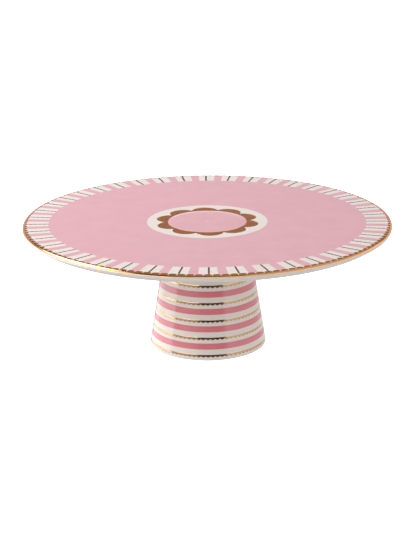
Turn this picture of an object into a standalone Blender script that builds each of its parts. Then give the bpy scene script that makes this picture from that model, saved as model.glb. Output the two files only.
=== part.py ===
"""Footed cake stand: a dished round plate luted to a hollow cone-shaped pedestal.

The pink and gold decoration is modelled as thin inlays. Each one sits in a shallow recess of the
porcelain, flush with the glaze, with a gap all round it. Metres, +Z up, the foot on z = 0.
"""

import math

import bmesh
import bpy
from mathutils import Matrix, Vector

MM = 0.001
GAP = 0.3 * MM
MERGE_DISTANCE = 0.001 * MM
SHARP_ANGLE = math.radians(35.0)

# Plate
PLATE_RADIUS = 140.0 * MM
STAND_HEIGHT = 98.4 * MM
DISH_DEPTH = 1.7 * MM
WELL_RADIUS = 47.0 * MM
EDGE_HEIGHT = 6.6 * MM
EDGE_TUCK = 3.5 * MM
LIP_ROUND = 2.2 * MM
PLATE_STEPS = 64
LIP_SEGMENTS = 4

# Pedestal
FOOT_RADIUS = 45.4 * MM
NECK_RADIUS = 30.6 * MM
WALL = 5.0 * MM
FOOT_ROUND = 1.2 * MM
PEDESTAL_STEPS = 32

# Joint between the two
SPIGOT_HEIGHT = 3.0 * MM
LUTING_THICK = 0.8 * MM

# Decoration
INLAY_THICK = 0.5 * MM
STRIPES = 42
STRIPE_TURN = math.radians(0.15)
STRIPE_SHARE = 0.33
STRIPE_START = 120.4 * MM
GOLD_START = 136.9 * MM
GOLD_LINE_WIDTH = 0.9 * MM
GOLD_LINE_PLACE = 0.52  # share of the way from one stripe's middle to the next
GOLD_LINE_SINK = 0.05 * MM
GOLD_LOW_ANGLE = math.radians(16.0)
FIELD_START = 45.9 * MM
DISC_RADIUS = 30.0 * MM
PETALS = 10
PETAL_TURN = math.radians(93.5)
PETAL_RADIUS = 10.3 * MM
PETAL_CENTRE = 29.4 * MM
PETAL_SEGMENTS = 6
DISC_SEGMENTS = 48
BANDS = 7
BAND_PITCH = 13.04 * MM
GOLD_BAND_LOW = 2.65 * MM
GOLD_BAND_WIDTH = 2.1 * MM
PINK_BAND_LOW = 8.7 * MM
PINK_BAND_WIDTH = 4.6 * MM

# Worked out from the sizes above
RECESS_DEPTH = INLAY_THICK + GAP
CUTTER_REACH = 5.0 * MM
UNDERSIDE_Z = STAND_HEIGHT - EDGE_HEIGHT
LIP_CENTRE = Vector((PLATE_RADIUS - LIP_ROUND, STAND_HEIGHT - LIP_ROUND))
HEEL_CENTRE = Vector((LIP_CENTRE.x - EDGE_TUCK, UNDERSIDE_Z + LIP_ROUND))
WELL_Z = STAND_HEIGHT - DISH_DEPTH
LAND_Z = UNDERSIDE_Z - LUTING_THICK - 2 * GAP
STRIPE_STEP = 2 * math.pi / STRIPES

WHITE = (0.86, 0.83, 0.79)
PINK = (0.75, 0.42, 0.47)
ROSE = (0.76, 0.24, 0.28)
GOLD = (0.72, 0.48, 0.25)
SLIP = (0.80, 0.76, 0.70)


def clear_scene():
    for obj in list(bpy.data.objects):
        bpy.data.objects.remove(obj)


def new_collection(name, hidden=False):
    collection = bpy.data.collections.new(name)
    collection.hide_render = hidden
    bpy.context.scene.collection.children.link(collection)
    return collection


def glaze(name, colour, roughness, metallic=0.0):
    """A Principled material of one colour."""
    material = bpy.data.materials.new(name)
    material.use_nodes = True
    shader = material.node_tree.nodes["Principled BSDF"]
    shader.inputs["Base Color"].default_value = (*colour, 1.0)
    shader.inputs["Roughness"].default_value = roughness
    shader.inputs["Metallic"].default_value = metallic
    return material


def place(obj, collection, material=None):
    """Links the object, and makes it a hidden helper where it has no material."""
    collection.objects.link(obj)
    if material:
        obj.data.materials.append(material)
        return obj
    obj.hide_render = True
    obj.display_type = "WIRE"
    return obj


def turned(name, profile, steps, collection, material=None, closed=True):
    """A solid of revolution. The profile's (radius, height) points run down its outer side."""
    points = [Vector((radius, 0.0, height)) for radius, height in profile]
    edges = [(index, index + 1) for index in range(len(points) - 1)]
    if closed:
        edges.append((len(points) - 1, 0))
    mesh = bpy.data.meshes.new(name)
    mesh.from_pydata(points, edges, [])
    obj = place(bpy.data.objects.new(name, mesh), collection, material)
    screw = obj.modifiers.new("turn", "SCREW")
    screw.axis = "Z"
    screw.angle = 2 * math.pi
    screw.steps = steps
    screw.render_steps = steps
    screw.use_merge_vertices = True
    screw.merge_threshold = MERGE_DISTANCE
    screw.use_smooth_shade = True
    return obj


def cut_out(name, loops, low, high, collection, material=None):
    """A flat outline, given as closed loops of (x, y) points, extruded from low to high."""
    curve = bpy.data.curves.new(name + "_outline", "CURVE")
    curve.dimensions = "2D"
    curve.fill_mode = "BOTH"
    curve.extrude = (high - low) / 2
    for loop in loops:
        spline = curve.splines.new("POLY")
        spline.points.add(len(loop) - 1)
        for point, (x, y) in zip(spline.points, loop):
            point.co = (x, y, 0.0, 1.0)
        spline.use_cyclic_u = True
    source = bpy.data.objects.new(name + "_outline", curve)
    bpy.context.scene.collection.objects.link(source)
    bpy.context.view_layer.update()
    graph = bpy.context.evaluated_depsgraph_get()
    mesh = bpy.data.meshes.new_from_object(source.evaluated_get(graph))
    mesh.name = name
    bpy.data.objects.remove(source)
    shell = bmesh.new()
    shell.from_mesh(mesh)
    bmesh.ops.remove_doubles(shell, verts=shell.verts, dist=MERGE_DISTANCE)
    bmesh.ops.translate(shell, verts=shell.verts, vec=(0.0, 0.0, (low + high) / 2))
    bmesh.ops.recalc_face_normals(shell, faces=shell.faces)
    shell.to_mesh(mesh)
    shell.free()
    mesh.materials.clear()
    return place(bpy.data.objects.new(name, mesh), collection, material)


def combine(obj, other, operation):
    boolean = obj.modifiers.new(operation.lower() + "_" + other.name, "BOOLEAN")
    boolean.operation = operation
    boolean.solver = "EXACT"
    boolean.object = other


def polar(radius, angle):
    return (radius * math.cos(angle), radius * math.sin(angle))


def arc(centre, radius, start, end, segments):
    """Points of an arc in the (radius, height) plane, both ends included."""
    points = []
    for index in range(segments + 1):
        angle = start + (end - start) * index / segments
        points.append(centre + Vector(polar(radius, angle)))
    return [tuple(point) for point in points]


def dish(radius):
    """Height of the plate's upper surface: a flat well and then a slight, even rise to the lip."""
    rise = (radius - WELL_RADIUS) / (LIP_CENTRE.x - WELL_RADIUS)
    return WELL_Z + DISH_DEPTH * max(0.0, rise)


def pedestal_radius(height):
    return FOOT_RADIUS + (NECK_RADIUS - FOOT_RADIUS) * height / UNDERSIDE_Z


def stripe_outline(inset, stripe_end):
    """The outer edge of the pink field: a circle with a stripe standing out of it in each period.

    A negative inset makes the outline larger by that much.
    """
    half = STRIPE_STEP * STRIPE_SHARE / 2
    points = []
    for index in range(STRIPES):
        middle = STRIPE_TURN + index * STRIPE_STEP
        root_half = half - inset / STRIPE_START
        end_half = half - inset / GOLD_START
        points.append(polar(STRIPE_START - inset, middle - root_half))
        points.append(polar(stripe_end, middle - end_half))
        points.append(polar(stripe_end, middle + end_half))
        points.append(polar(STRIPE_START - inset, middle + root_half))
    return points


def petal_outline(grow):
    """Ten round petals, each an arc between the two points where it meets its neighbours."""
    radius = PETAL_RADIUS + grow
    half_step = math.pi / PETALS
    across = PETAL_CENTRE * math.sin(half_step)
    cusp = PETAL_CENTRE * math.cos(half_step) + math.sqrt(radius**2 - across**2)
    meet = Vector(polar(cusp, half_step)) - Vector((PETAL_CENTRE, 0.0))
    sweep = math.atan2(meet.y, meet.x)
    points = []
    for petal in range(PETALS):
        turn = Matrix.Rotation(PETAL_TURN + 2 * petal * half_step, 2)
        for index in range(PETAL_SEGMENTS):
            angle = -sweep + 2 * sweep * index / PETAL_SEGMENTS
            local = Vector((PETAL_CENTRE, 0.0)) + Vector(polar(radius, angle))
            points.append(tuple(turn @ local))
    return points


def circle(radius, points):
    return [polar(radius, 2 * math.pi * index / points) for index in range(points)]


def sloped_ring(name, inner, outer, above, below, collection):
    """A ring that follows the dish, from above it to below it."""
    profile = [
        (inner, dish(inner) + above),
        (outer, dish(outer) + above),
        (outer, dish(outer) - below),
        (inner, dish(inner) - below),
    ]
    return turned(name, profile, PLATE_STEPS, collection)


def gold_bars(name, width, start, end, above, below, collection):
    """Radial bars over the white panels, one to each period, which follow the dish."""
    slope = math.atan2(dish(end) - dish(start), end - start)
    middle = (start + end) / 2
    height = dish(middle) + (above - below) / 2
    mesh = bpy.data.meshes.new(name)
    bars = bmesh.new()
    for index in range(STRIPES):
        angle = STRIPE_TURN + (index + GOLD_LINE_PLACE) * STRIPE_STEP
        turn = Matrix.Rotation(angle, 4, "Z")
        tilt = Matrix.Translation((middle, 0.0, height)) @ Matrix.Rotation(-slope, 4, "Y")
        size = Matrix.Diagonal((end - start, width, above + below, 1.0))
        bmesh.ops.create_cube(bars, size=1.0, matrix=turn @ tilt @ size)
    bars.to_mesh(mesh)
    bars.free()
    return place(bpy.data.objects.new(name, mesh), collection)


def heel_angle():
    """Direction in which the plate's edge faces between the lip and the heel below it."""
    along = HEEL_CENTRE - LIP_CENTRE
    return math.atan2(along.x, -along.y)


def make_plate(collection, cutters, material):
    """Plate with its rounded lip, the recess for the lip's gold, and the locating ring below."""
    recess_end = GOLD_LOW_ANGLE - GAP / LIP_ROUND
    spigot_outer = pedestal_radius(LAND_Z) - WALL - GAP
    spigot_inner = spigot_outer - WALL
    profile = [(0.0, WELL_Z), (WELL_RADIUS, WELL_Z)]
    profile.append((GOLD_START - GAP, dish(GOLD_START - GAP)))
    profile.append((GOLD_START - GAP, dish(GOLD_START - GAP) - RECESS_DEPTH))
    profile += arc(
        LIP_CENTRE, LIP_ROUND - RECESS_DEPTH, math.pi / 2, recess_end, LIP_SEGMENTS
    )
    profile += arc(LIP_CENTRE, LIP_ROUND, recess_end, 0.0, 1)
    profile += arc(LIP_CENTRE, LIP_ROUND, 0.0, heel_angle(), 2)[1:]
    profile += arc(HEEL_CENTRE, LIP_ROUND, heel_angle(), -math.pi / 2, 2)
    profile.append((spigot_outer, UNDERSIDE_Z))
    profile.append((spigot_outer, UNDERSIDE_Z - SPIGOT_HEIGHT))
    profile.append((spigot_inner, UNDERSIDE_Z - SPIGOT_HEIGHT))
    profile.append((spigot_inner, UNDERSIDE_Z))
    profile.append((0.0, UNDERSIDE_Z))
    plate = turned("plate", profile, PLATE_STEPS, collection, material, closed=False)

    field_room = cut_out(
        "field_recess", [stripe_outline(-GAP, GOLD_START + GAP)],
        WELL_Z - CUTTER_REACH, WELL_Z + CUTTER_REACH, cutters,
    )
    field_depth = sloped_ring(
        "field_recess_depth", FIELD_START - GAP, PLATE_RADIUS, CUTTER_REACH / 2,
        RECESS_DEPTH, cutters,
    )
    combine(field_room, field_depth, "INTERSECT")
    flower_room = cut_out(
        "flower_recess", [petal_outline(GAP)],
        WELL_Z - RECESS_DEPTH, WELL_Z + CUTTER_REACH, cutters,
    )
    line_room = gold_bars(
        "line_slots", GOLD_LINE_WIDTH + 2 * GAP, STRIPE_START - GAP, GOLD_START + GAP,
        CUTTER_REACH, RECESS_DEPTH, cutters,
    )
    for cutter in (field_room, flower_room, line_room):
        combine(plate, cutter, "DIFFERENCE")
    return plate


def make_pink_field(collection, cutters, material):
    field = cut_out(
        "pink_field", [stripe_outline(0.0, GOLD_START - GAP)],
        WELL_Z - CUTTER_REACH, WELL_Z + CUTTER_REACH, collection, material,
    )
    depth = sloped_ring(
        "field_depth", FIELD_START, PLATE_RADIUS, 0.0, INLAY_THICK, cutters
    )
    combine(field, depth, "INTERSECT")
    return field


def make_medallion(collection, pink, gold):
    low = WELL_Z - INLAY_THICK
    disc_edge = circle(DISC_RADIUS, DISC_SEGMENTS)
    cut_out("centre_disc", [disc_edge], low, WELL_Z, collection, pink)
    loops = [petal_outline(0.0), circle(DISC_RADIUS + GAP, DISC_SEGMENTS)]
    cut_out("flower_gilding", loops, low, WELL_Z, collection, gold)


def make_rim_gilding(collection, cutters, material):
    """Gold over the lip, joined to the gold lines that run in over the white panels."""
    outer = [(GOLD_START, dish(GOLD_START))]
    outer += arc(LIP_CENTRE, LIP_ROUND, math.pi / 2, GOLD_LOW_ANGLE, LIP_SEGMENTS)
    back = LIP_ROUND - INLAY_THICK
    inner = arc(LIP_CENTRE, back, GOLD_LOW_ANGLE, math.pi / 2, LIP_SEGMENTS)
    inner.append((GOLD_START, dish(GOLD_START) - INLAY_THICK))
    rim = turned("rim_gilding", outer + inner, PLATE_STEPS, collection, material)
    lines = gold_bars(
        "gold_lines", GOLD_LINE_WIDTH, STRIPE_START, GOLD_START + GAP,
        -GOLD_LINE_SINK, INLAY_THICK - GOLD_LINE_SINK, cutters,
    )
    combine(rim, lines, "UNION")
    return rim


def band_edges():
    """(name, low, high, is_gold) of each band round the pedestal, from the foot up."""
    edges = []
    for index in range(BANDS):
        low = GOLD_BAND_LOW + index * BAND_PITCH
        edges.append((f"gold_line_{index + 1}", low, low + GOLD_BAND_WIDTH, True))
        low = PINK_BAND_LOW + index * BAND_PITCH
        high = min(low + PINK_BAND_WIDTH, LAND_Z - 3 * GAP)
        edges.append((f"pink_band_{index + 1}", low, high, False))
    return edges


def make_pedestal(collection, material):
    """Hollow foot with a groove for each band. Its lower edge is the ring that it stands on."""
    profile = [(pedestal_radius(LAND_Z), LAND_Z)]
    for _, low, high, _ in reversed(band_edges()):
        top = high + GAP
        bottom = low - GAP
        profile.append((pedestal_radius(top), top))
        profile.append((pedestal_radius(top) - RECESS_DEPTH, top))
        profile.append((pedestal_radius(bottom) - RECESS_DEPTH, bottom))
        profile.append((pedestal_radius(bottom), bottom))
    corner = Vector((pedestal_radius(FOOT_ROUND) - FOOT_ROUND, FOOT_ROUND))
    profile += arc(corner, FOOT_ROUND, 0.0, -math.pi / 2, 2)
    profile.append((FOOT_RADIUS - WALL + FOOT_ROUND / 2, 0.0))
    profile.append((pedestal_radius(FOOT_ROUND) - WALL, FOOT_ROUND))
    profile.append((pedestal_radius(LAND_Z) - WALL, LAND_Z))
    return turned("pedestal", profile, PEDESTAL_STEPS, collection, material)


def make_bands(collection, rose, gold):
    for name, low, high, is_gold in band_edges():
        profile = [
            (pedestal_radius(high), high),
            (pedestal_radius(low), low),
            (pedestal_radius(low) - INLAY_THICK, low),
            (pedestal_radius(high) - INLAY_THICK, high),
        ]
        turned(name, profile, PEDESTAL_STEPS, collection, gold if is_gold else rose)


def make_luting_ring(collection, material):
    high = UNDERSIDE_Z - GAP
    low = high - LUTING_THICK
    outer = NECK_RADIUS - 2 * GAP
    inner = pedestal_radius(LAND_Z) - WALL + 2 * GAP
    profile = [(outer, high), (outer, low), (inner, low), (inner, high)]
    return turned("luting_ring", profile, PEDESTAL_STEPS, collection, material)


def shade(collection):
    """Keeps the flats and the recess walls crisp on the round pieces."""
    for obj in collection.objects:
        obj.data.shade_smooth()
        obj.data.set_sharp_from_angle(angle=SHARP_ANGLE)


def main():
    clear_scene()
    parts = new_collection("cake_stand")
    cutters = new_collection("cutters", hidden=True)
    porcelain = glaze("white_porcelain", WHITE, 0.12)
    pink = glaze("pink_enamel", PINK, 0.15)
    rose = glaze("rose_enamel", ROSE, 0.15)
    gold = glaze("bright_gold", GOLD, 0.18, 1.0)
    slip = glaze("fired_slip", SLIP, 0.55)
    make_plate(parts, cutters, porcelain)
    make_pink_field(parts, cutters, pink)
    make_medallion(parts, pink, gold)
    make_rim_gilding(parts, cutters, gold)
    make_pedestal(parts, porcelain)
    make_bands(parts, rose, gold)
    make_luting_ring(parts, slip)
    shade(parts)


main()
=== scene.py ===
"""Looks of the footed cake stand: glazed porcelain with fired-on pink enamel and bright gold.

The porcelain is two turned bodies and a seam of slip. Each colour or gilding is its own thin closed
skin, which follows the porcelain and stands about a hundredth of a millimetre proud of it. Sizes come
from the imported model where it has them. Metres, +Z up, angles counter-clockwise from +X.
"""

import math

import bmesh
import bpy
import numpy as np
from mathutils import Matrix, Vector


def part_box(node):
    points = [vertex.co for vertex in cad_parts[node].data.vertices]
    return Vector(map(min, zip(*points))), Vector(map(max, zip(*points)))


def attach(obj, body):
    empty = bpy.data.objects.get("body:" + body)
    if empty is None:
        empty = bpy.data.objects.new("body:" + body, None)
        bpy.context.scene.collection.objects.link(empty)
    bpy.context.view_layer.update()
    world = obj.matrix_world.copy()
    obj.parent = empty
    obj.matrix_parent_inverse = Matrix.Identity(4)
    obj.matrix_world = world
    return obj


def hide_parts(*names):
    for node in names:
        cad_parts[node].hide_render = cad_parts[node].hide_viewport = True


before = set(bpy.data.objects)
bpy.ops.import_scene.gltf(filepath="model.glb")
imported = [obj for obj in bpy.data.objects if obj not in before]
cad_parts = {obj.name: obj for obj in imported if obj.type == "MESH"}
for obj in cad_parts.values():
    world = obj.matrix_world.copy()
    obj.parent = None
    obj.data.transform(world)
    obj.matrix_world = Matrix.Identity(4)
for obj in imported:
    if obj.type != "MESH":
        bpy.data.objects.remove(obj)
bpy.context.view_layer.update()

MM = 0.001
BODY = "root"
FRONT = math.radians(270.0)

# Plate, read from the frame
PLATE_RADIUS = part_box("plate")[1].x
STAND_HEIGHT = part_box("plate")[1].z
SPIGOT_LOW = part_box("plate")[0].z
WELL_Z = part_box("centre_disc")[1].z
DISC_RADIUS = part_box("centre_disc")[1].x
FLOWER_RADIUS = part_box("flower_gilding")[1].y
FOOT_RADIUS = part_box("pedestal")[1].x
BANDS = sum(name.startswith("gold_line_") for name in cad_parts)

# Plate, shape
EDGE_HEIGHT = 6.6 * MM
EDGE_TUCK = 3.5 * MM
LIP_ROUND = 2.2 * MM
WELL_RADIUS = 47.0 * MM
WELL_BLEND = 18.0 * MM
UNDERSIDE_Z = STAND_HEIGHT - EDGE_HEIGHT
UNDERSIDE_ROUND = 0.8 * MM

# Pedestal, shape
NECK_RADIUS = 30.6 * MM
WALL = 5.0 * MM
FOOT_ROUND = 1.2 * MM
SEAM_ROUND = 1.1 * MM
BARE_HEIGHT = 0.12 * MM  # the foot ring is ground bare of glaze up to here

# How far the hidden edges of one piece reach into the next
JOINT_OVERLAP = 0.2 * MM
SEAM_TAIL = 0.6 * MM
SEAM_PROUD = 0.01 * MM
SEAM_SINK = 1.5 * MM
SEAM_RISE = 0.32 * MM
STRIPE_UNDER_GOLD = 0.8 * MM
LINE_UNDER_GOLD = 0.6 * MM
FLOWER_UNDER_DISC = 0.1 * MM

# Decoration
STRIPES = 42
STRIPE_TURN = math.radians(0.15)
STRIPE_STEP = 2 * math.pi / STRIPES
STRIPE_SHARE = 0.33
FIELD_START = 45.9 * MM
STRIPE_START = 120.4 * MM
SCALLOPS = 147
SCALLOP_TURN = math.radians(270.12)
SCALLOP_START = 136.4 * MM
SCALLOP_DEPTH = 2.45 * MM
GOLD_LOW_ANGLE = math.radians(16.0)
LINE_SIDE = -0.15 * MM
LINE_WIDTH = 0.7 * MM
LINE_TOOTH = 0.8 * MM
LINE_TEETH = 9
LINE_TOOTH_PITCH = 3.45 * MM
LINE_TOOTH_MIDDLE = 130.3 * MM
PETALS = 10
PETAL_TURN = math.radians(93.5)
PETAL_RADIUS = 10.3 * MM
BAND_TOOTH_PITCH = 3.59 * MM
BAND_TOOTH = 1.25 * MM

# How far the skins stand out of the glaze and reach into it
ENAMEL_RISE = 0.012 * MM
GOLD_RISE = 0.016 * MM
LINE_RISE = 0.8 * GOLD_RISE
SINK = 0.06 * MM

# A skin's rounded edge: how wide it is, and points on it as (share of the width, share of the rise)
EDGE_SOFT = 0.03 * MM
EDGE_POINTS = ((0.0, 0.0), (0.25, 0.6))

# How finely the meshes are divided: round the axis, along the outlines, and across each skin
COLUMNS = 504
MEDALLION_COLUMNS = 240
PETAL_COLUMNS = 36
STRIPE_COLUMNS = 4
PANEL_COLUMNS = 8
TOOTH_STEPS = 10
ARC_STEP = math.radians(6.0)
SHARP_ANGLE = math.radians(40.0)
MERGE_DISTANCE = 1e-7
CORNER_SPACE = 1.0 * MM
RISE_START = 75.0 * MM
WELL_POINTS = 27
RISE_POINTS = 14
UNDERSIDE_STEPS = 12
CENTRE_STEPS = 6
OUTER_WALL_STEPS = 60
INNER_WALL_STEPS = 40
FIELD_ROWS = 20
STRIPE_POINTS = 16
MEDALLION_STEPS = 8
RIM_STEPS = 14
BAND_STEPS = 6
BAND_LINE_STEPS = 4
LINE_POINTS = 6


# --- Outlines ---------------------------------------------------------------------------------


class Path:
    """A line in the (radius, height) plane with its outer side on the left, read by its length."""

    def __init__(self, points):
        self.points = np.array(points, float)
        steps = np.linalg.norm(np.diff(self.points, axis=0), axis=1)
        self.lengths = np.concatenate([[0.0], np.cumsum(steps)])
        along = np.gradient(self.points, self.lengths, axis=0)
        normals = np.stack([-along[:, 1], along[:, 0]], axis=1)
        self.normals = normals / np.linalg.norm(normals, axis=1, keepdims=True)

    def at(self, length, lift=0.0):
        """(radius, height) at these lengths, lifted off the path by that much."""
        found = []
        for axis in range(2):
            place = np.interp(length, self.lengths, self.points[:, axis])
            normal = np.interp(length, self.lengths, self.normals[:, axis])
            found.append(place + normal * lift)
        return found

    def at_radius(self, radius):
        """Length where the path first reaches this radius, on a stretch that runs outwards."""
        last = int(np.argmax(self.points[:, 0]))
        return float(np.interp(radius, self.points[: last + 1, 0], self.lengths[: last + 1]))

    def at_height(self, height):
        """Length where the path comes down to this height, on a stretch that runs down."""
        last = int(np.argmin(self.points[:, 1]))
        down = slice(last, None, -1)
        return float(np.interp(height, self.points[down, 1], self.lengths[down]))


def arc(centre, radius, start, end):
    """Points of an arc in the (radius, height) plane, both ends included."""
    count = max(2, math.ceil(abs(end - start) / ARC_STEP))
    angles = np.linspace(start, end, count + 1)
    return [(centre[0] + radius * math.cos(a), centre[1] + radius * math.sin(a)) for a in angles]


def line(start, end, count):
    """Points from start to end, without the end."""
    shares = np.arange(count) / count
    return [tuple(np.array(start) * (1 - t) + np.array(end) * t) for t in shares]


def dish_height(radius, rim_radius, rim_height):
    """A flat well that turns gently into an even rise towards the lip."""
    slope = (rim_height - WELL_Z) / (rim_radius - WELL_RADIUS)
    beyond = radius - (WELL_RADIUS - WELL_BLEND)
    if beyond <= 0:
        return WELL_Z
    if beyond < 2 * WELL_BLEND:
        return WELL_Z + slope * beyond**2 / (4 * WELL_BLEND)
    return WELL_Z + slope * (radius - WELL_RADIUS)


def pedestal_radius(height):
    return FOOT_RADIUS + (NECK_RADIUS - FOOT_RADIUS) * height / UNDERSIDE_Z


def plate_path():
    """From the middle of the top, out over the lip and back under to the middle, past the spigot."""
    lip = np.array([PLATE_RADIUS - LIP_ROUND, STAND_HEIGHT - LIP_ROUND])
    heel = np.array([lip[0] - EDGE_TUCK, UNDERSIDE_Z + LIP_ROUND])
    slope = math.atan2(STAND_HEIGHT - WELL_Z, lip[0] - WELL_RADIUS)
    top = math.pi / 2 + slope
    edge = math.atan2(heel[0] - lip[0], lip[1] - heel[1])
    rim = lip + LIP_ROUND * np.array([math.cos(top), math.sin(top)])
    well = np.linspace(0, WELL_RADIUS + WELL_BLEND, WELL_POINTS)
    rise = np.linspace(RISE_START, rim[0], RISE_POINTS)
    radii = np.concatenate([well, rise])
    points = [(r, dish_height(r, rim[0], rim[1])) for r in radii[:-1]]
    points += arc(lip, LIP_ROUND, top, edge)
    points += arc(heel, LIP_ROUND, edge, -math.pi / 2)
    soft = UNDERSIDE_ROUND
    outer = pedestal_radius(UNDERSIDE_Z) - WALL
    inner = outer - WALL
    flat_start = (heel[0] - CORNER_SPACE, UNDERSIDE_Z)
    points += line(flat_start, (outer + soft, UNDERSIDE_Z), UNDERSIDE_STEPS)
    points += arc((outer + soft, UNDERSIDE_Z - soft), soft, math.pi / 2, math.pi)
    points += arc((outer - soft, SPIGOT_LOW + soft), soft, 0, -math.pi / 2)
    points += arc((inner + soft, SPIGOT_LOW + soft), soft, -math.pi / 2, -math.pi)
    points += arc((inner - soft, UNDERSIDE_Z - soft), soft, 0, math.pi / 2)
    flat_start = (inner - 2 * CORNER_SPACE, UNDERSIDE_Z)
    points += line(flat_start, (0.0, UNDERSIDE_Z), CENTRE_STEPS)
    points.append((0.0, UNDERSIDE_Z))
    return Path(points)


def pedestal_path():
    """From the joint down the outside, round the foot ring and up the inside."""
    top = UNDERSIDE_Z + JOINT_OVERLAP
    round_in = pedestal_radius(FOOT_ROUND) - FOOT_ROUND
    foot = (pedestal_radius(FOOT_ROUND), FOOT_ROUND)
    points = line((pedestal_radius(top), top), foot, OUTER_WALL_STEPS)
    points += arc((round_in, FOOT_ROUND), FOOT_ROUND, 0, -math.pi / 2)
    inner = pedestal_radius(FOOT_ROUND) - WALL + FOOT_ROUND
    points += arc((inner, FOOT_ROUND), FOOT_ROUND, -math.pi / 2, -math.pi)
    inside_foot = (pedestal_radius(2 * FOOT_ROUND) - WALL, 2 * FOOT_ROUND)
    inside_top = (pedestal_radius(top) - WALL, top)
    points += line(inside_foot, inside_top, INNER_WALL_STEPS)
    points.append(inside_top)
    return Path(points)


# --- Meshes -----------------------------------------------------------------------------------


def new_piece(name, points, faces, materials, nodes):
    """A smooth-shaded mesh object that rides on the stand and replaces these CAD nodes."""
    mesh = bpy.data.meshes.new(name)
    mesh.from_pydata(points, [], faces)
    shell = bmesh.new()
    shell.from_mesh(mesh)
    bmesh.ops.remove_doubles(shell, verts=shell.verts, dist=MERGE_DISTANCE)
    shell.to_mesh(mesh)
    shell.free()
    mesh.shade_smooth()
    mesh.set_sharp_from_angle(angle=SHARP_ANGLE)
    for material in materials:
        mesh.materials.append(material)
    piece = bpy.data.objects.new(name, mesh)
    bpy.context.scene.collection.objects.link(piece)
    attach(piece, BODY)
    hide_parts(*nodes)
    return piece


def round_points(radii, heights, angles):
    """3-D points from (rows, columns) radii and heights and one angle per column."""
    radii, heights, angles = np.broadcast_arrays(radii, heights, angles)
    return np.stack([radii * np.cos(angles), radii * np.sin(angles), heights], axis=-1)


def ring_faces(rows, columns, closed):
    """Quads of a grid whose columns go all the way round, and whose rows do too if closed."""
    faces = []
    for row in range(rows if closed else rows - 1):
        here = row * columns
        after = (row + 1) % rows * columns
        for column in range(columns):
            beside = (column + 1) % columns
            faces.append((here + column, after + column, after + beside, here + beside))
    return faces


def turned(name, path, closed, materials, nodes):
    """A body turned from its path. An open path starts and ends on the axis."""
    angles = 2 * math.pi * np.arange(COLUMNS) / COLUMNS
    radii = path.points[:, :1]
    points = round_points(radii, path.points[:, 1:], angles[None, :])
    points = points.reshape(-1, 3).tolist()
    faces = ring_faces(len(radii), COLUMNS, closed)
    return new_piece(name, points, faces, materials, nodes)


def skin(name, path, low, high, angles, rise, steps, material, nodes):
    """A closed layer on a turned body, from length low to length high at each angle.

    Its edges are rounded off, so that they meet the glaze without a step.
    """
    low, high, angles = np.broadcast_arrays(low, high, angles)
    shares = np.linspace(0, 1, steps + 1)
    rows = [(0.0, offset * EDGE_SOFT, lift * rise) for offset, lift in EDGE_POINTS]
    for share in shares:
        inset = EDGE_SOFT * (1 - 2 * share)
        rows.append((share, inset, rise))
    rows += [(1.0, -offset * EDGE_SOFT, lift * rise) for offset, lift in reversed(EDGE_POINTS)]
    rows += [(share, 0.0, -SINK) for share in reversed(shares)]
    radii, heights = [], []
    for share, offset, lift in rows:
        radius, height = path.at(low + (high - low) * share + offset, lift)
        radii.append(radius)
        heights.append(height)
    points = round_points(np.array(radii), np.array(heights), angles[None, :])
    faces = ring_faces(len(rows), len(angles), closed=True)
    return new_piece(name, points.reshape(-1, 3).tolist(), faces, [material], nodes)


def tiles(name, path, lengths, angles, filled, rise, material, nodes):
    """A closed layer over the cells of a grid for which filled(row, column) is true."""
    rows, columns = len(lengths) - 1, len(angles)
    index, points, faces = {}, [], []

    def corner(row, column, lift):
        key = (row, column % columns, lift)
        if key not in index:
            radius, height = path.at(lengths[row], lift)
            angle = angles[column % columns]
            index[key] = len(points)
            points.append((radius * math.cos(angle), radius * math.sin(angle), height))
        return index[key]

    def wall(first, second):
        places = ((first, rise), (first, -SINK), (second, -SINK), (second, rise))
        faces.append(tuple(corner(*place, lift) for place, lift in places))

    for row in range(rows):
        for column in range(columns):
            if not filled(row, column):
                continue
            around = [(row, column), (row + 1, column), (row + 1, column + 1), (row, column + 1)]
            faces.append(tuple(corner(*place, rise) for place in around))
            faces.append(tuple(corner(*place, -SINK) for place in reversed(around)))
            beyond = [(row, column - 1), (row + 1, column), (row, column + 1), (row - 1, column)]
            for side, (near_row, near_column) in enumerate(beyond):
                inside = 0 <= near_row < rows and filled(near_row, near_column % columns)
                if not inside:
                    wall(around[side], around[(side + 1) % 4])
    return new_piece(name, points, faces, [material], nodes)


def slab(top, bottom, start):
    """Points and faces of a closed sheet between two (rows, columns, 3) grids."""
    rows, columns = top.shape[:2]
    points = np.concatenate([top.reshape(-1, 3), bottom.reshape(-1, 3)]).tolist()
    under = rows * columns
    faces = []
    for row in range(rows - 1):
        for column in range(columns - 1):
            a = row * columns + column
            quad = (a, a + columns, a + columns + 1, a + 1)
            faces.append(quad)
            faces.append(tuple(under + corner for corner in reversed(quad)))
    edge = [row * columns for row in range(rows)]
    edge += [(rows - 1) * columns + column for column in range(1, columns)]
    edge += [row * columns + columns - 1 for row in range(rows - 2, -1, -1)]
    edge += list(range(columns - 2, 0, -1))
    for here, after in zip(edge, edge[1:] + edge[:1]):
        faces.append((after, here, under + here, under + after))
    return points, [tuple(start + corner for corner in face) for face in faces]


def tooth_places(count):
    """Where the columns of a toothed edge go, in teeth, closer together near each tooth's ends."""
    within = 0.5 * np.sin(np.linspace(-math.pi / 2, math.pi / 2, TOOTH_STEPS + 1))[:-1]
    return (np.arange(count)[:, None] + within[None, :]).ravel()


def tooth(place):
    """Height of a round tooth, from 0 between two teeth to 1 at the middle of each."""
    across = 2 * (place - np.round(place))
    return np.sqrt(np.clip(1 - across**2, 0, 1))


# --- Pieces -----------------------------------------------------------------------------------


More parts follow.
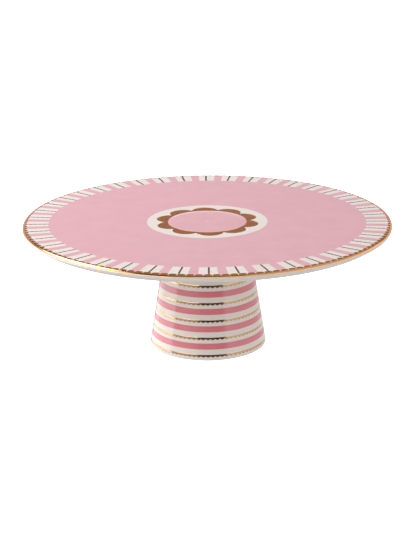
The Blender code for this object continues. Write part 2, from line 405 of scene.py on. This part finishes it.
def make_porcelain(plate, pedestal, glaze, biscuit):
    turned("plate_porcelain", plate, False, [glaze], ["plate"])
    foot = turned("pedestal_porcelain", pedestal, True, [glaze, biscuit], ["pedestal"])
    for face in foot.data.polygons:
        if face.center.z < BARE_HEIGHT:
            face.material_index = 1


def make_seam(material):
    """The smoothed line of slip in the corner between the pedestal and the plate."""
    radius = pedestal_radius(UNDERSIDE_Z - SEAM_ROUND)
    centre = (radius + SEAM_ROUND, UNDERSIDE_Z - SEAM_ROUND)
    points = arc(centre, SEAM_ROUND, math.pi / 2, math.pi)
    low = points[-1][1] - SEAM_TAIL
    high = UNDERSIDE_Z + SEAM_RISE
    points.append((pedestal_radius(low) + SEAM_PROUD, low))
    points.append((radius - SEAM_SINK, low))
    points.append((radius - SEAM_SINK, high))
    points.append((points[0][0], high))
    turned("joint_seam", Path(points), True, [material], ["luting_ring"])


def make_field(plate, material):
    """The pink ground of the plate with its 42 stripes, which run out under the rim's gold."""
    half = STRIPE_SHARE / 2
    stripe = np.linspace(-half, half, STRIPE_COLUMNS, endpoint=False)
    panel = np.linspace(half, 1 - half, PANEL_COLUMNS, endpoint=False)
    in_period = np.concatenate([stripe, panel])
    angles = STRIPE_TURN + STRIPE_STEP * (np.arange(STRIPES)[:, None] + in_period)
    inner, middle = plate.at_radius(FIELD_START), plate.at_radius(STRIPE_START)
    outer = plate.at_radius(SCALLOP_START) + SCALLOP_DEPTH + STRIPE_UNDER_GOLD
    ground = np.linspace(inner, middle, FIELD_ROWS, endpoint=False)
    lengths = np.concatenate([ground, np.linspace(middle, outer, STRIPE_POINTS)])

    def filled(row, column):
        return row < FIELD_ROWS or column % len(in_period) < STRIPE_COLUMNS

    tiles(
        "field_enamel", plate, lengths, angles.ravel(), filled, ENAMEL_RISE,
        material, ["pink_field"],
    )


def make_medallion(plate, enamel, gold):
    """A flower of ten round petals in gold, with a pink disc over its middle."""
    angles = 2 * math.pi * np.arange(MEDALLION_COLUMNS) / MEDALLION_COLUMNS
    skin(
        "disc_enamel", plate, 0.0, DISC_RADIUS, angles, ENAMEL_RISE, MEDALLION_STEPS,
        enamel, ["centre_disc"],
    )
    step = 2 * math.pi / PETALS
    turn = (np.arange(PETAL_COLUMNS * PETALS) / PETAL_COLUMNS + 0.5) * step
    within = (turn + step / 2) % step - step / 2
    centre = FLOWER_RADIUS - PETAL_RADIUS
    reach = centre * np.cos(within) + np.sqrt(PETAL_RADIUS**2 - (centre * np.sin(within)) ** 2)
    start = DISC_RADIUS - FLOWER_UNDER_DISC
    skin(
        "flower_gold", plate, start, reach, PETAL_TURN + turn, GOLD_RISE, MEDALLION_STEPS,
        gold, ["flower_gilding"],
    )


def make_rim_gold(plate, gold):
    """Gold over the lip, with a scalloped inner edge."""
    places = tooth_places(SCALLOPS)
    angles = SCALLOP_TURN + 2 * math.pi * places / SCALLOPS
    tips = plate.at_radius(SCALLOP_START)
    lip_side = plate.at_radius(PLATE_RADIUS) - GOLD_LOW_ANGLE * LIP_ROUND
    low = tips + SCALLOP_DEPTH * (1 - tooth(places))
    skin(
        "rim_gold", plate, low, lip_side, angles, GOLD_RISE, RIM_STEPS,
        gold, ["rim_gilding"],
    )


def make_panel_lines(plate, gold):
    """A gold line across each white panel, with small round teeth along one side."""
    start = plate.at_radius(STRIPE_START)
    end = plate.at_radius(SCALLOP_START) + LINE_UNDER_GOLD
    middle = plate.at_radius(LINE_TOOTH_MIDDLE)
    teeth = tooth_places(LINE_TEETH) - LINE_TEETH // 2
    lengths = middle + LINE_TOOTH_PITCH * teeth
    lengths = np.concatenate([[start], lengths[(lengths > start) & (lengths < end)], [end]])
    width = LINE_WIDTH + LINE_TOOTH * tooth((lengths - middle) / LINE_TOOTH_PITCH)
    across = LINE_SIDE + width[:, None] * np.linspace(0, 1, LINE_POINTS)[None, :]
    points, faces = [], []
    for index in range(STRIPES):
        turn = STRIPE_TURN + (index + 0.5) * STRIPE_STEP
        grids = []
        for lift in (LINE_RISE, -SINK):
            radius, height = plate.at(lengths, lift)
            angles = turn + across / radius[:, None]
            grids.append(round_points(radius[:, None], height[:, None], angles))
        more_points, more_faces = slab(grids[0], grids[1], len(points))
        points += more_points
        faces += more_faces
    new_piece("panel_lines_gold", points, faces, [gold], ["rim_gilding"])


def make_bands(pedestal, enamel, gold):
    """Seven pink bands and seven gold lines with teeth that hang from them."""
    plain = 2 * math.pi * np.arange(COLUMNS) / COLUMNS
    for number in range(1, BANDS + 1):
        name = f"pink_band_{number}"
        low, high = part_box(name)[0].z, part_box(name)[1].z
        if number == BANDS:
            high = UNDERSIDE_Z - SEAM_ROUND
        skin(
            f"band_enamel_{number}", pedestal, pedestal.at_height(high), pedestal.at_height(low),
            plain, ENAMEL_RISE, BAND_STEPS, enamel, [name],
        )
        name = f"gold_line_{number}"
        low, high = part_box(name)[0].z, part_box(name)[1].z
        count = round(2 * math.pi * pedestal_radius(high) / BAND_TOOTH_PITCH)
        places = tooth_places(count)
        angles = FRONT + 2 * math.pi * places / count
        lower_edge = pedestal.at_height(low + BAND_TOOTH) + BAND_TOOTH * tooth(places)
        skin(
            f"line_gold_{number}", pedestal, pedestal.at_height(high), lower_edge,
            angles, GOLD_RISE, BAND_LINE_STEPS, gold, [name],
        )


# --- Materials --------------------------------------------------------------------------------


# Colours: each a lighter one and the darker one that it clouds towards
PORCELAIN = ((0.86, 0.78, 0.73), (0.82, 0.74, 0.69))
SLIP = ((0.83, 0.75, 0.70), (0.75, 0.68, 0.62))
BISCUIT = ((0.74, 0.70, 0.64), (0.60, 0.56, 0.50))
FIELD_PINK = ((0.78, 0.425, 0.475), (0.75, 0.395, 0.445))
BAND_PINK = ((0.77, 0.235, 0.265), (0.74, 0.205, 0.24))
BRIGHT_GOLD = ((0.92, 0.47, 0.19), (0.86, 0.41, 0.155))
THIN_GOLD = ((0.42, 0.24, 0.11), (0.34, 0.19, 0.085))
PALE_GOLD = ((0.77, 0.51, 0.30), (0.70, 0.45, 0.25))
IRON_SPECK = (0.42, 0.36, 0.30)
BISCUIT_SPECK = (0.35, 0.30, 0.26)

# The colour that gold turns towards at a grazing angle: on the plate, and on the pedestal
WARM_EDGE = (1.0, 0.70, 0.64)
WHITE_EDGE = (1.0, 1.0, 1.0)

# Refractive index: how strongly the glaze reflects, and the richer enamel of the bands
GLAZE_IOR = 1.6
BAND_IOR = 1.75


class Nodes:
    """Short calls for building one material's nodes."""

    def __init__(self, name):
        self.material = bpy.data.materials.new(name)
        self.material.use_nodes = True
        self.tree = self.material.node_tree
        self.shader = self.tree.nodes["Principled BSDF"]
        self.place = self.add("ShaderNodeTexCoord").outputs["Object"]

    def add(self, kind, **settings):
        node = self.tree.nodes.new(kind)
        for key, value in settings.items():
            setattr(node, key, value)
        return node

    def link(self, output, socket):
        self.tree.links.new(output, socket)

    def noise(self, scale, detail=2.0, rough=0.5, stretch=(1.0, 1.0, 1.0)):
        """Fractal noise with this many cells to the metre."""
        mapping = self.add("ShaderNodeMapping")
        mapping.inputs["Scale"].default_value = stretch
        self.link(self.place, mapping.inputs["Vector"])
        node = self.add("ShaderNodeTexNoise")
        node.inputs["Scale"].default_value = scale
        node.inputs["Detail"].default_value = detail
        node.inputs["Roughness"].default_value = rough
        self.link(mapping.outputs["Vector"], node.inputs["Vector"])
        return node.outputs["Fac"]

    def ranged(self, value, low, high, start=0.3, end=0.7):
        """The value remapped from start..end to low..high, and held there beyond."""
        node = self.add("ShaderNodeMapRange")
        node.inputs["From Min"].default_value = start
        node.inputs["From Max"].default_value = end
        node.inputs["To Min"].default_value = low
        node.inputs["To Max"].default_value = high
        self.link(value, node.inputs["Value"])
        return node.outputs["Result"]

    def blend(self, factor, first, second):
        """Colour from first to second as the factor goes from 0 to 1."""
        node = self.add("ShaderNodeMix", data_type="RGBA")
        self.link(factor, node.inputs["Factor"])
        for value, socket in ((first, node.inputs["A"]), (second, node.inputs["B"])):
            if isinstance(value, tuple):
                socket.default_value = (*value, 1.0)
            else:
                self.link(value, socket)
        return node.outputs["Result"]

    def specks(self, scale, size, share):
        """1 inside rare small round spots, 0 elsewhere."""
        node = self.add("ShaderNodeTexVoronoi")
        node.inputs["Scale"].default_value = scale
        self.link(self.place, node.inputs["Vector"])
        near = self.ranged(node.outputs["Distance"], 1.0, 0.0, size * 0.6, size)
        chosen = self.add("ShaderNodeSeparateColor")
        self.link(node.outputs["Color"], chosen.inputs["Color"])
        rare = self.ranged(chosen.outputs["Red"], 1.0, 0.0, share, share + 0.01)
        both = self.add("ShaderNodeMath", operation="MULTIPLY")
        self.link(near, both.inputs[0])
        self.link(rare, both.inputs[1])
        return both.outputs["Value"]

    def bump(self, layers):
        """Stacks (height output, depth in metres) layers onto the shader's normal."""
        normal = None
        for height, depth in layers:
            node = self.add("ShaderNodeBump")
            node.inputs["Distance"].default_value = depth
            node.inputs["Strength"].default_value = 1.0
            self.link(height, node.inputs["Height"])
            if normal is not None:
                self.link(normal, node.inputs["Normal"])
            normal = node.outputs["Normal"]
        self.link(normal, self.shader.inputs["Normal"])

    def set(self, **values):
        for key, value in values.items():
            self.shader.inputs[key.replace("_", " ")].default_value = value


def glaze_material(name, light, shade):
    """White porcelain under a clear gloss glaze, with faint clouding and a few iron specks."""
    n = Nodes(name)
    cloud = n.ranged(n.noise(22, 3.0), 0.0, 1.0)
    fine = n.ranged(n.noise(900, 2.0), 0.0, 0.25)
    colour = n.blend(cloud, light, shade)
    colour = n.blend(fine, colour, tuple(0.94 * part for part in shade))
    colour = n.blend(n.specks(140, 0.035, 0.06), colour, IRON_SPECK)
    n.link(colour, n.shader.inputs["Base Color"])
    n.link(n.ranged(n.noise(120, 3.0), 0.05, 0.12), n.shader.inputs["Roughness"])
    n.bump([(n.noise(55, 2.0), 0.02 * MM), (n.noise(420, 2.0), 0.0025 * MM)])
    n.set(IOR=GLAZE_IOR)
    return n.material


def enamel_material(name, light, deep, index=GLAZE_IOR):
    """Printed enamel under gloss: an even colour with a faint mottle and a few pale pinholes."""
    n = Nodes(name)
    mottle = n.ranged(n.noise(60, 4.0, 0.6), 0.0, 1.0)
    grain = n.ranged(n.noise(1600, 2.0), 0.0, 0.30)
    colour = n.blend(mottle, light, deep)
    colour = n.blend(grain, colour, tuple(0.93 * part for part in deep))
    pale = tuple(0.45 * part + 0.45 for part in light)
    colour = n.blend(n.specks(110, 0.03, 0.10), colour, pale)
    n.link(colour, n.shader.inputs["Base Color"])
    n.link(n.ranged(n.noise(150, 3.0), 0.08, 0.16), n.shader.inputs["Roughness"])
    n.bump([(n.noise(55, 2.0), 0.02 * MM), (n.noise(700, 3.0), 0.002 * MM)])
    n.set(IOR=index)
    return n.material


def gold_material(name, bright, worn, edge):
    """Gold, fired on thin: fine brush marks and browner patches. At a grazing angle it turns to edge."""
    n = Nodes(name)
    patch = n.ranged(n.noise(90, 4.0, 0.6), 0.0, 1.0)
    colour = n.blend(patch, bright, worn)
    fine = n.ranged(n.noise(1500, 2.0), 0.0, 0.35)
    colour = n.blend(fine, colour, tuple(0.9 * part for part in worn))
    n.link(colour, n.shader.inputs["Base Color"])
    n.link(n.ranged(n.noise(500, 3.0), 0.10, 0.20), n.shader.inputs["Roughness"])
    n.bump([(n.noise(300, 2.0), 0.004 * MM), (n.noise(1400, 3.0, stretch=(1, 1, 3)), 0.0012 * MM)])
    n.set(Metallic=1.0, Specular_Tint=(*edge, 1.0))
    return n.material


def biscuit_material(name, light, shade):
    """The foot ring, ground clean of glaze: matt, slightly grey and grainy."""
    n = Nodes(name)
    colour = n.blend(n.ranged(n.noise(300, 4.0, 0.6), 0.0, 1.0), light, shade)
    colour = n.blend(n.specks(500, 0.12, 0.10), colour, BISCUIT_SPECK)
    n.link(colour, n.shader.inputs["Base Color"])
    n.link(n.ranged(n.noise(800, 3.0), 0.60, 0.80), n.shader.inputs["Roughness"])
    n.bump([(n.noise(1500, 4.0, 0.6), 0.03 * MM)])
    return n.material


# --- Studio -----------------------------------------------------------------------------------


# name, middle azimuth, half width, low and high elevation, softness of its edges (degrees), light.
# Azimuth 0 is the camera's side, and 90 is to the right.
PANELS = (
    ("left_strip_near", -90.5, 14.5, -10.0, -1.0, 2.0, (1.4,) * 3),
    ("left_strip_far", -127.5, 22.5, -16.0, -6.0, 2.0, (1.1,) * 3),
    ("left_box", -113.0, 37.0, -20.0, 20.0, 3.0, (0.6,) * 3),
    ("left_high", -103.0, 27.0, 20.0, 50.0, 3.0, (1.3,) * 3),
    ("key_box", -63.0, 13.0, 20.0, 42.0, 3.0, (2.0,) * 3),
    ("front_left_low", -58.0, 18.0, -20.0, 5.0, 2.0, (0.5,) * 3),
    ("front_left_edge", -30.5, 9.5, -20.0, 5.0, 2.0, (0.3,) * 3),
    ("front_left_high", -48.5, 27.5, 5.0, 20.0, 2.0, (2.8,) * 3),
    ("front_low", 7.5, 28.5, -20.0, -8.0, 2.0, (0.4,) * 3),
    ("front_middle", 7.5, 28.5, -8.0, 5.0, 2.0, (0.02,) * 3),
    ("front_upper", 7.5, 28.5, 5.0, 20.0, 2.0, (0.35,) * 3),
    ("front_high", 7.5, 28.5, 20.0, 42.0, 4.0, (1.45,) * 3),
    ("right_low", 85.0, 49.0, -20.0, 5.0, 2.0, (0.67,) * 3),
    ("right_middle", 85.0, 49.0, 5.0, 20.0, 2.0, (1.45,) * 3),
    ("right_high", 85.0, 49.0, 20.0, 65.0, 2.0, (0.65,) * 3),
    ("far_low", 172.0, 38.0, -20.0, 5.0, 2.0, (0.76,) * 3),
    ("far_middle", 172.0, 38.0, 5.0, 12.5, 1.5, (1.0,) * 3),
    ("far_high", 172.0, 38.0, 12.5, 65.0, 2.0, (0.285,) * 3),
    ("ceiling", 0.0, 180.0, 65.0, 90.0, 4.0, (0.33,) * 3),
    ("table", 0.0, 180.0, -90.0, -20.0, 5.0, (0.64, 0.63, 0.615)),
)
ROOM = (0.01,) * 3


def make_world():
    """A dark room with soft panels of light round it, each a smooth window of directions."""
    world = bpy.data.worlds.new("studio")
    world.use_nodes = True
    tree = world.node_tree
    background = tree.nodes["Background"]
    coordinates = tree.nodes.new("ShaderNodeTexCoord")
    flat = tree.nodes.new("ShaderNodeVectorMath")
    flat.operation = "MULTIPLY"
    flat.inputs[1].default_value = (1.0, 1.0, 0.0)
    tree.links.new(coordinates.outputs["Generated"], flat.inputs[0])
    level = tree.nodes.new("ShaderNodeVectorMath")
    level.operation = "NORMALIZE"
    tree.links.new(flat.outputs["Vector"], level.inputs[0])
    parts = tree.nodes.new("ShaderNodeSeparateXYZ")
    tree.links.new(coordinates.outputs["Generated"], parts.inputs["Vector"])

    def step(value, start, end):
        node = tree.nodes.new("ShaderNodeMapRange")
        node.interpolation_type = "SMOOTHSTEP"
        node.inputs["From Min"].default_value = start
        node.inputs["From Max"].default_value = end
        tree.links.new(value, node.inputs["Value"])
        return node.outputs["Result"]

    def product(first, second):
        node = tree.nodes.new("ShaderNodeMath")
        node.operation = "MULTIPLY"
        tree.links.new(first, node.inputs[0])
        tree.links.new(second, node.inputs[1])
        return node.outputs["Value"]

    def inverse(value):
        node = tree.nodes.new("ShaderNodeMath")
        node.operation = "SUBTRACT"
        node.inputs[0].default_value = 1.0
        tree.links.new(value, node.inputs[1])
        return node.outputs["Value"]

    def above(elevation, soft):
        """1 above this elevation and 0 below it."""
        start = math.sin(math.radians(elevation - soft / 2))
        end = math.sin(math.radians(elevation + soft / 2))
        return step(parts.outputs["Z"], start, end)

    def sector(middle, half, soft):
        """1 within the half width of this azimuth and 0 beyond it."""
        turn = math.radians(middle)
        toward = tree.nodes.new("ShaderNodeVectorMath")
        toward.operation = "DOT_PRODUCT"
        toward.inputs[1].default_value = (math.sin(turn), -math.cos(turn), 0.0)
        tree.links.new(level.outputs["Vector"], toward.inputs[0])
        outside = math.cos(math.radians(half + soft / 2))
        inside = math.cos(math.radians(half - soft / 2))
        return step(toward.outputs["Value"], outside, inside)

    total = None
    for name, middle, half, low, high, soft, light in PANELS:
        window = sector(middle, half, soft) if half < 180 else None
        if low > -90:
            rising = above(low, soft)
            window = product(window, rising) if window else rising
        if high < 90:
            falling = inverse(above(high, soft))
            window = product(window, falling) if window else falling
        adding = tree.nodes.new("ShaderNodeVectorMath")
        adding.operation = "MULTIPLY_ADD"
        adding.name = name
        adding.inputs[1].default_value = light
        tree.links.new(window, adding.inputs[0])
        if total is None:
            adding.inputs[2].default_value = ROOM
        else:
            tree.links.new(total, adding.inputs[2])
        total = adding.outputs["Vector"]
    tree.links.new(total, background.inputs["Color"])
    bpy.context.scene.world = world


# The one lamp: where it stands, what it faces, the side of its square and its power in watts
LAMP_PLACE = Vector((-1.05, 0.19, 0.95))
LAMP_AIM = Vector((0.0, 0.0, 0.06))
LAMP_SIDE = 0.9
LAMP_POWER = 21.0


def make_lamp():
    data = bpy.data.lights.new("key_lamp", "AREA")
    data.shape = "SQUARE"
    data.size = LAMP_SIDE
    data.energy = LAMP_POWER
    lamp = bpy.data.objects.new("key_lamp", data)
    lamp.location = LAMP_PLACE
    lamp.rotation_mode = "QUATERNION"
    lamp.rotation_quaternion = (LAMP_AIM - LAMP_PLACE).to_track_quat("-Z", "Y")
    bpy.context.scene.collection.objects.link(lamp)


# Floor and backdrop, in metres: it is level out to FLOOR_REACH, and then curves up and over
FLOOR_INNER = 1.0
FLOOR_REACH = 6.0
FLOOR_COLUMNS = 64
PAPER = (0.90, 0.90, 0.90, 1.0)
PAPER_ROUGHNESS = 0.9
PAPER_GLOW = 0.93


def make_floor():
    """A plain pale floor that curves up into a plain pale backdrop and glows evenly."""
    profile = [(0.0, 0.0), (FLOOR_INNER, 0.0), (FLOOR_REACH, 0.0)]
    profile += arc((FLOOR_REACH, FLOOR_REACH), FLOOR_REACH, -math.pi / 2, math.pi / 2)
    profile.append((0.0, 2 * FLOOR_REACH))
    angles = 2 * math.pi * np.arange(FLOOR_COLUMNS) / FLOOR_COLUMNS
    table = np.array(profile)
    points = round_points(table[:, :1], table[:, 1:], angles[None, :]).reshape(-1, 3).tolist()
    faces = ring_faces(len(profile), FLOOR_COLUMNS, closed=False)
    mesh = bpy.data.meshes.new("floor")
    mesh.from_pydata(points, [], faces)
    mesh.shade_smooth()
    floor = bpy.data.objects.new("floor", mesh)
    bpy.context.scene.collection.objects.link(floor)
    material = bpy.data.materials.new("pale_paper")
    material.use_nodes = True
    tree = material.node_tree
    shader = tree.nodes["Principled BSDF"]
    shader.inputs["Base Color"].default_value = PAPER
    shader.inputs["Roughness"].default_value = PAPER_ROUGHNESS
    shader.inputs["Emission Color"].default_value = (1.0, 1.0, 1.0, 1.0)
    shader.inputs["Emission Strength"].default_value = PAPER_GLOW
    mesh.materials.append(material)
    floor.visible_diffuse = False
    floor.visible_glossy = False
    floor.visible_transmission = False
    floor.visible_shadow = False


# The camera: a point it looks at, its distance, elevation and roll, and its lens and sensor in mm
TARGET = Vector((0.3 * MM, 0.0, 59.2 * MM))
CAMERA_DISTANCE = 1.1
CAMERA_ELEVATION = math.radians(17.67)
CAMERA_ROLL = math.radians(0.424)
CAMERA_LENS = 95.91
CAMERA_SENSOR = 36.0


def make_camera():
    data = bpy.data.cameras.new("camera")
    data.lens = CAMERA_LENS
    data.sensor_width = CAMERA_SENSOR
    camera = bpy.data.objects.new("camera", data)
    bpy.context.scene.collection.objects.link(camera)
    back = Vector((0.0, -math.cos(CAMERA_ELEVATION), math.sin(CAMERA_ELEVATION)))
    level_up = Vector((0.0, math.sin(CAMERA_ELEVATION), math.cos(CAMERA_ELEVATION)))
    level_right = Vector((1.0, 0.0, 0.0))
    up = math.cos(CAMERA_ROLL) * level_up + math.sin(CAMERA_ROLL) * level_right
    right = math.cos(CAMERA_ROLL) * level_right - math.sin(CAMERA_ROLL) * level_up
    camera.matrix_world = Matrix.Translation(TARGET + CAMERA_DISTANCE * back) @ Matrix(
        (right, up, back)
    ).transposed().to_4x4()
    bpy.context.scene.camera = camera


# --- Everything together ----------------------------------------------------------------------


def make_stand():
    glaze = glaze_material("porcelain_glaze", *PORCELAIN)
    biscuit = biscuit_material("unglazed_biscuit", *BISCUIT)
    seam = glaze_material("slip_under_glaze", *SLIP)
    field = enamel_material("field_pink", *FIELD_PINK)
    band = enamel_material("band_pink", *BAND_PINK, BAND_IOR)
    gold = gold_material("bright_gold", *BRIGHT_GOLD, WARM_EDGE)
    thin = gold_material("thin_gold", *THIN_GOLD, WARM_EDGE)
    pale = gold_material("pale_gold", *PALE_GOLD, WHITE_EDGE)
    plate, pedestal = plate_path(), pedestal_path()
    make_porcelain(plate, pedestal, glaze, biscuit)
    make_seam(seam)
    make_field(plate, field)
    make_medallion(plate, field, gold)
    make_rim_gold(plate, gold)
    make_panel_lines(plate, thin)
    make_bands(pedestal, band, pale)


make_camera()
make_world()
make_lamp()
make_floor()
make_stand()
bpy.context.scene.view_settings.view_transform = "Standard"
